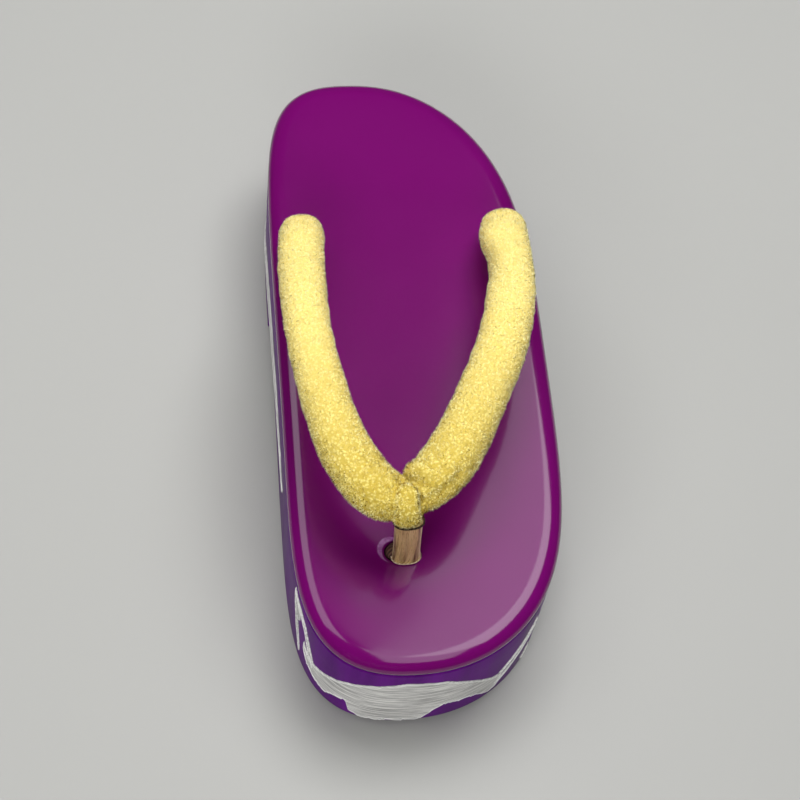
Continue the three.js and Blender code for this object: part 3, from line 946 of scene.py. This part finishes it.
GATHER = (
    (-11.4, -80.2, 26.6, 9.8, 7.0), (-11.8, -79.6, 28.8, 11.4, 10.4),
    (-12.2, -77.8, 32.0, 11.4, 12.4), (-12.2, -74.8, 35.6, 9.8, 10.4),
    (-12.2, -72.6, 37.4, 5.6, 6.0),
)
# Troughs (depth above zero) and ridges (below zero) in the pile: width, depth and the plan points they
# run over.
FOLD_COLUMNS = ("width", "depth", "over")
FOLD_ROWS = {
    "small_toe_leg_to_gather": (
        1.5, 1.4, ((-13.0, -69.0), (-9.6, -70.6), (-7.6, -73.8), (-7.0, -79.7), (-6.9, -83.5))),
    "big_toe_leg_to_gather": (
        1.6, 1.0, ((-14.2, -70.4), (-16.2, -74.0), (-17.8, -79.1), (-18.2, -83.4))),
    "small_toe_leg_fold": (1.5, 1.3, ((-6.9, -77.7), (-1.5, -75.6), (3.6, -72.1), (5.8, -69.2))),
    "small_toe_leg_nub": (3.0, -2.2, ((-9.6, -66.6), (-6.4, -69.0))),
    "small_toe_leg_dent": (6.0, 1.5, ((26.6, 24.0), (27.4, 16.0))),
    "small_toe_leg_bulge": (5.0, -1.0, ((26.4, 37.5), (26.2, 34.0))),
    "big_toe_leg_sag": (5.0, -0.6, ((-27.0, -72.0), (-20.0, -77.5))),
}
FOLDS = [dict(zip(FOLD_COLUMNS, row)) for row in FOLD_ROWS.values()]


def lift_rows(rows):
    """Rows with their lifts turned into heights."""
    table = np.array(rows, float)
    table[:, 2] += rim_plane(table[:, 1])
    return table


def distance_to(path, points):
    """Plan distance from points to a broken line."""
    path = np.asarray(path, float)
    best = np.full(len(points), 1e9)
    for a, b in zip(path[:-1], path[1:]):
        along = np.clip(((points - a) @ (b - a)) / ((b - a) @ (b - a)), 0, 1)
        best = np.minimum(best, np.linalg.norm(points - a - along[:, None] * (b - a), axis=1))
    return best


def closeness(row, points):
    """1 on a fold's line, falling off over its width."""
    return np.exp(-(distance_to(row["over"], points[:, :2]) / row["width"]) ** 2)


SIM_SCALE = 5.0          # the simulation runs on an enlarged copy, where cloth settles in few frames
PAD_VOXEL = 1.2
PAD_SLIM = 0.95          # how much slimmer the skins start than they end
PAD_PRESSURE = 4.0
SIM_FRAMES = 20
SWELL_CAP = 1.0          # how far a point may move
HELD_BELOW = 4.5         # the stretch this near the footbed is held in its hole
CREASED_ABOVE = 24       # the creases are held only this high above the footbed


def fused_skin():
    """One closed skin round both legs and the gather, enlarged for the simulation."""
    skins = []
    for rows, spacing in ((MEDIAL_LEG, 0.8), (LATERAL_LEG, 0.8), (GATHER, 0.4)):
        path = even(spline(lift_rows(rows), 12), spacing)
        path[:, 3:] *= PAD_SLIM
        skins.append(sweep(path, 56, 2.15)[:2])
    points, faces = stacked(skins)
    obj = make_object("strap_start", points * SIM_SCALE, faces, PILE, None)
    fuse = obj.modifiers.new("fuse", "REMESH")
    fuse.mode, fuse.voxel_size = "VOXEL", PAD_VOXEL * SIM_SCALE * MM
    even_out = obj.modifiers.new("even_out", "SMOOTH")
    even_out.factor, even_out.iterations = 0.5, 5
    apply_modifiers(obj)
    return obj


def swelled(obj, start):
    """The skin's points after a pressure simulation, as far as the cap lets them move. The creases and
    the ends in the holes are held."""
    flat = start / SIM_SCALE
    lift = flat[:, 2] - rim_plane(flat[:, 1])
    held = np.clip((HELD_BELOW - lift) / 2.0, 0, 1)
    for row in FOLDS:
        if row["depth"] > 0:
            held = np.maximum(held, closeness(row, flat) * (lift > CREASED_ABOVE))
    group = obj.vertex_groups.new(name="held")
    for index in np.nonzero(held > 0.05)[0]:
        group.add([int(index)], float(held[index]), "REPLACE")
    cloth = obj.modifiers.new("filling", "CLOTH")
    cloth.settings.use_pressure = True
    cloth.settings.uniform_pressure_force = PAD_PRESSURE
    cloth.settings.effector_weights.gravity = 0
    cloth.settings.vertex_group_mass = "held"
    cloth.collision_settings.use_collision = False
    cloth.point_cache.frame_start, cloth.point_cache.frame_end = 1, SIM_FRAMES
    for number in range(1, SIM_FRAMES + 1):
        bpy.context.scene.frame_set(number)
    apply_modifiers(obj)
    bpy.context.scene.frame_set(1)
    move = points_of(obj) - start
    length = np.linalg.norm(move, axis=1)[:, None]
    return start + move * np.minimum(1, SWELL_CAP * SIM_SCALE / np.maximum(length, 1e-9))


UNEVENNESS = 0.16


def fold(points, corners):
    """The padded skin with its creases, dents and bulges, and a slight unevenness from the filling."""
    for _ in range(2):
        normals = normals_of(points, corners)
        push = np.zeros(len(points))
        for row in FOLDS:
            push -= 0.5 * row["depth"] * closeness(row, points) * np.clip(normals[:, 2] + 0.75, 0, 1)
        points = points + normals * push[:, None]
    x, y, z = points.T
    uneven = np.sin(x * 0.31 + y * 0.17) * np.sin(y * 0.23 - z * 0.29)
    uneven = uneven + 0.5 * np.sin(y * 0.71 + x * 0.53 + z * 0.4)
    return points + normals_of(points, corners) * UNEVENNESS * uneven[:, None]


# Pile: tufts of fibres, a triangle each.
FIBRES_PER_TUFT = 16
FIBRE_WIDTH = 0.18
FIBRE_SUNK = 0.12
# Tufts along the creases are darkened: painted shade.
CREASE_MOST_WIDTH = 2    # folds narrower than this are creases, with dark tufts along them
CREASE_SHADE_WIDTH = 0.75
TUFT = {
    "fine": {"spacing": 0.9, "length": 0.6, "spread": 0.25},
    "coarse": {"spacing": 1.2, "length": 0.9, "spread": 0.4},
}


def tuft_size(key, points):
    """A tuft's spacing, length or spread at each point."""
    share = np.clip((points[:, 1] - COARSE_Y) / (FINE_Y - COARSE_Y), 0, 1)
    return TUFT["coarse"][key] + (TUFT["fine"][key] - TUFT["coarse"][key]) * share


def scattered(points, draw):
    """Which points take a tuft: none nearer to another than the spacing at its place."""
    tree = KDTree(len(points))
    for index, point in enumerate(points):
        tree.insert(point, index)
    tree.balance()
    spacing = tuft_size("spacing", points)
    taken = np.zeros(len(points), bool)
    chosen = []
    for index in draw.permutation(len(points)):
        if not taken[index]:
            chosen.append(index)
            for _, near, _ in tree.find_range(points[index], spacing[index]):
                taken[near] = True
    return np.array(chosen)


def tufted(name, points, normals, seed):
    """Short pile over some of the padded skin's points."""
    draw = np.random.default_rng(seed)
    chosen = scattered(points, draw)
    tufts = len(chosen)
    total = tufts * FIBRES_PER_TUFT

    def each(values):
        return np.repeat(values, FIBRES_PER_TUFT, 0)

    base, up = each(points[chosen]), each(normals[chosen])
    lean = each(draw.normal(0, 0.2, (tufts, 3)))
    tall = each(draw.uniform(0.75, 1.2, tufts) * tuft_size("length", points[chosen]))
    spread = draw.normal(0, 1, (total, 3))
    spread -= up * (spread * up).sum(1)[:, None]
    direction = unit(up + 0.3 * spread + lean)
    length = (tall * draw.uniform(0.75, 1.15, total))[:, None]
    root = base + each(tuft_size("spread", points[chosen]))[:, None] * spread - FIBRE_SUNK * up
    across = unit(np.cross(direction, draw.normal(0, 1, (total, 3)))) * FIBRE_WIDTH / 2
    corners = np.stack([root - across, root + across, root + direction * length], 1).reshape(-1, 3)
    obj = make_object(name, corners, np.arange(3 * total).reshape(-1, 3).tolist(), FIBRE, "pile_fabric")
    shade = unit(up + 0.35 * direction + [0, 0, 0.6])
    obj.data.normals_split_custom_set_from_vertices(np.repeat(shade, 3, 0).tolist())
    obj.visible_shadow = False
    # A random tone for each tuft, darkened along the creases as painted shade, stored in the tuft field.
    tone_and_crease_shade = draw.uniform(0, 1, tufts)
    for row in FOLDS:
        if row["depth"] > 0 and row["width"] < CREASE_MOST_WIDTH:
            away = distance_to(row["over"], points[chosen][:, :2])
            tone_and_crease_shade *= 1 - np.exp(-(away / CREASE_SHADE_WIDTH) ** 2)
    add_field(obj, "tip", np.tile([0.0, 0.0, 1.0], total))
    add_field(obj, "tuft", np.repeat(each(tone_and_crease_shade), 3))


def build_strap():
    raw = fused_skin()
    corners = corners_of(raw)
    start = points_of(raw)
    points = swelled(raw, start) / SIM_SCALE
    bpy.data.objects.remove(raw)
    pad = make_object("strap_pad", fold(points, corners), corners.tolist(), PILE, "pile_fabric")
    smooth = pad.modifiers.new("smooth", "SUBSURF")
    smooth.levels = smooth.render_levels = 1
    apply_modifiers(pad)
    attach(pad, "root")
    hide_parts("hanao_strap")
    points = points_of(pad)
    normals = normals_of(points, corners_of(pad))
    above = points[:, 2] > rim_plane(points[:, 1]) - 1.5
    medial, lateral = (distance_to([row[:2] for row in leg], points[:, :2])
                       for leg in (MEDIAL_LEG, LATERAL_LEG))
    big_toe_side = above & (medial < lateral)
    small_toe_side = above & (medial >= lateral)
    tufted("pile_big_toe_side", points[big_toe_side], normals[big_toe_side], 11)
    tufted("pile_small_toe_side", points[small_toe_side], normals[small_toe_side], 12)


# ---- toe post, cords and knots

POST_WIDE, POST_THICK = 9.5, 5.8
POST_FOOT = (-10.2, -81.1, -0.3)
POST_HEAD = (-11.4, -80.2, 26.3)
# Where the front cord leaves its hole and turns into the sleeve: x, y, lift, width, thickness.
NECK = (
    (-13.7, -78.6, -1.2, 6.2, 6.2),
    (-11.2, -80.3, 2.8, 4.6, 4.6),
)


def knotted_cord(hole, end):
    """Rows of a cord from its knot's tip up its hole, and on through the given end rows."""
    top = hole["roof"] - FIT_GAP
    levels = (
        (top - KNOT_HEIGHT, KNOT_TIP),
        (top - 0.8 * KNOT_HEIGHT, 0.85 * KNOT_WIDE),
        (top - 0.5 * KNOT_HEIGHT, KNOT_WIDE),
        (top - 0.15 * KNOT_HEIGHT, 0.85 * KNOT_WIDE),
        (top + 1.5, CORD),
        (board_bottom(hole["y"]) - 2, CORD),
    )
    rows = []
    for height, wide in levels:
        centre = hole_axis(hole, height)
        rows.append((centre[0], centre[1], height, wide, wide))
    rows += lift_rows(end).tolist()
    return even(spline(rows, 8), 0.8)


def build_cords():
    ends = {"medial": MEDIAL_LEG[:1], "lateral": LATERAL_LEG[:1], "front": NECK}
    for name, hole in HOLES.items():
        path = knotted_cord(hole, ends[name])
        widest = np.where(path[:, 2:3] > hole["roof"] + 2, CORD_MOST, KNOT_WIDE)
        path[:, 3:] = np.minimum(path[:, 3:], widest)
        points, faces, uvs = sweep(path, 28)
        obj = make_object("cord_" + name, points, faces, COTTON, "cotton_cord", uvs=uvs)
        if name == "front":
            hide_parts("toe_post")


def band(name, centre, axis, proud, thick, material):
    """A ring round the sleeve, proud of it by a little."""
    side = unit(np.cross([0, 1, 0], axis))
    back = np.cross(axis, side)
    turn = np.linspace(0, TURN, 73)
    cos, sin = [np.sign(wave) * np.abs(wave) ** 0.83 for wave in (np.cos(turn), np.sin(turn))]
    oval = centre + np.outer(cos * (POST_WIDE / 2 + proud), side)
    oval += np.outer(sin * (POST_THICK / 2 + proud), back)
    ring = np.column_stack([oval, np.full((len(oval), 2), thick)])
    points, faces, uvs = sweep(ring, 10)
    make_object(name, points, faces, material, "satin_sleeve", uvs=uvs)


def build_post():
    """The sleeve, with a hem at its foot and a dark ring round its head that stands for the shadow where
    the gather meets it: painted shade.
    """
    foot, head = [lift_rows([end + (POST_WIDE, POST_THICK)])[0] for end in (POST_FOOT, POST_HEAD)]
    path = even(np.linspace(foot, head, 40), 0.4)
    along = np.linalg.norm(path[:, :3] - foot[:3], axis=1)
    hem = 0.35 * np.exp(-((along - 0.5) / 0.45) ** 2)
    waist = -0.25 * np.sin(math.pi * along / along[-1])
    path[:, 3] += hem + waist
    path[:, 4] += hem + waist
    points, faces, uvs = sweep(path, 64, 2.4)
    obj = make_object("toe_post_sleeve", points, faces, SATIN, "satin_sleeve", uvs=uvs)
    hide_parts("toe_post")
    axis = unit(head[:3] - foot[:3])
    # A dark ring at the sleeve's head: painted shade where the gather meets the sleeve.
    band("toe_post_shadow_ring", head[:3] - axis * 0.35, axis, 0.28, 0.75, SHADOW_RING)
    band("toe_post_hem", foot[:3] + axis * 0.75, axis, 0.3, 0.45, HEM)


build_footbed()
build_platform()
build_paint()
build_strap()
build_cords()
build_post()


# ---- studio

def softbox(name, at, size, radiance, aim=None, seen=True, lights=True, turn=0.0):
    """A rectangular light of even brightness, in metres, facing down or at a place, turned about its own
    axis by some degrees. One that isn't seen has no mirror image in the gloss, and one that doesn't light
    has nothing but its mirror image."""
    width, height = size
    aim = aim or (at[0], at[1], 0.0)
    data = bpy.data.lights.new(name, "AREA")
    data.shape = "RECTANGLE"
    data.size, data.size_y = width, height
    data.energy = radiance * math.pi * width * height
    light = bpy.data.objects.new(name, data)
    light.location = at
    light.rotation_mode = "QUATERNION"
    facing = (Vector(aim) - Vector(at)).to_track_quat("-Z", "Y").to_matrix()
    spin = Matrix.Rotation(math.radians(turn), 3, "Z")
    light.rotation_quaternion = (facing @ spin).to_quaternion()
    light.visible_glossy = seen
    light.visible_diffuse = lights
    bpy.context.scene.collection.objects.link(light)


def build_studio():
    n = Nodes("floor_paper")
    n.set(Base_Color=n.mix(n.noise(3, 3), rgb(161, 161, 158), rgb(166, 166, 163)), Roughness=0.7)
    half = 4.0
    corners = [(-half, -half, 0), (half, -half, 0), (half, half, 0), (-half, half, 0)]
    floor = make_object("floor", np.array(corners) / MM, [(0, 1, 2, 3)], n.material, None)
    centre = (0.0, 0.0, 0.03)
    softbox("key_overhead", (0.15, 0.32, 1.15), (0.8, 0.6), 10.2, aim=centre, seen=False)
    softbox("fill_front", (-0.4, -1.0, 0.65), (0.9, 0.5), 6.4, aim=centre, seen=False)
    softbox("mirror_right", (0.205, 0.3, 1.2), (0.17, 1.04), 1.65, turn=-22)
    softbox("mirror_right_edge", (0.53, 0.08, 1.2), (0.58, 0.95), 4.0, lights=False, turn=-22)
    softbox("mirror_front", (0.17, -0.46, 1.2), (0.56, 0.8), 1.9, lights=False)
    softbox("mirror_left", (-0.62, 0.3, 1.2), (0.66, 0.9), 2.2)
    world = bpy.data.worlds.new("studio")
    world.use_nodes = True
    background = world.node_tree.nodes["Background"]
    background.inputs["Color"].default_value = (0.9, 0.9, 0.92, 1)
    background.inputs["Strength"].default_value = 0.045
    scene = bpy.context.scene
    scene.world = world
    scene.view_settings.view_transform = "Standard"


build_studio()

bpy.context.view_layer.update()
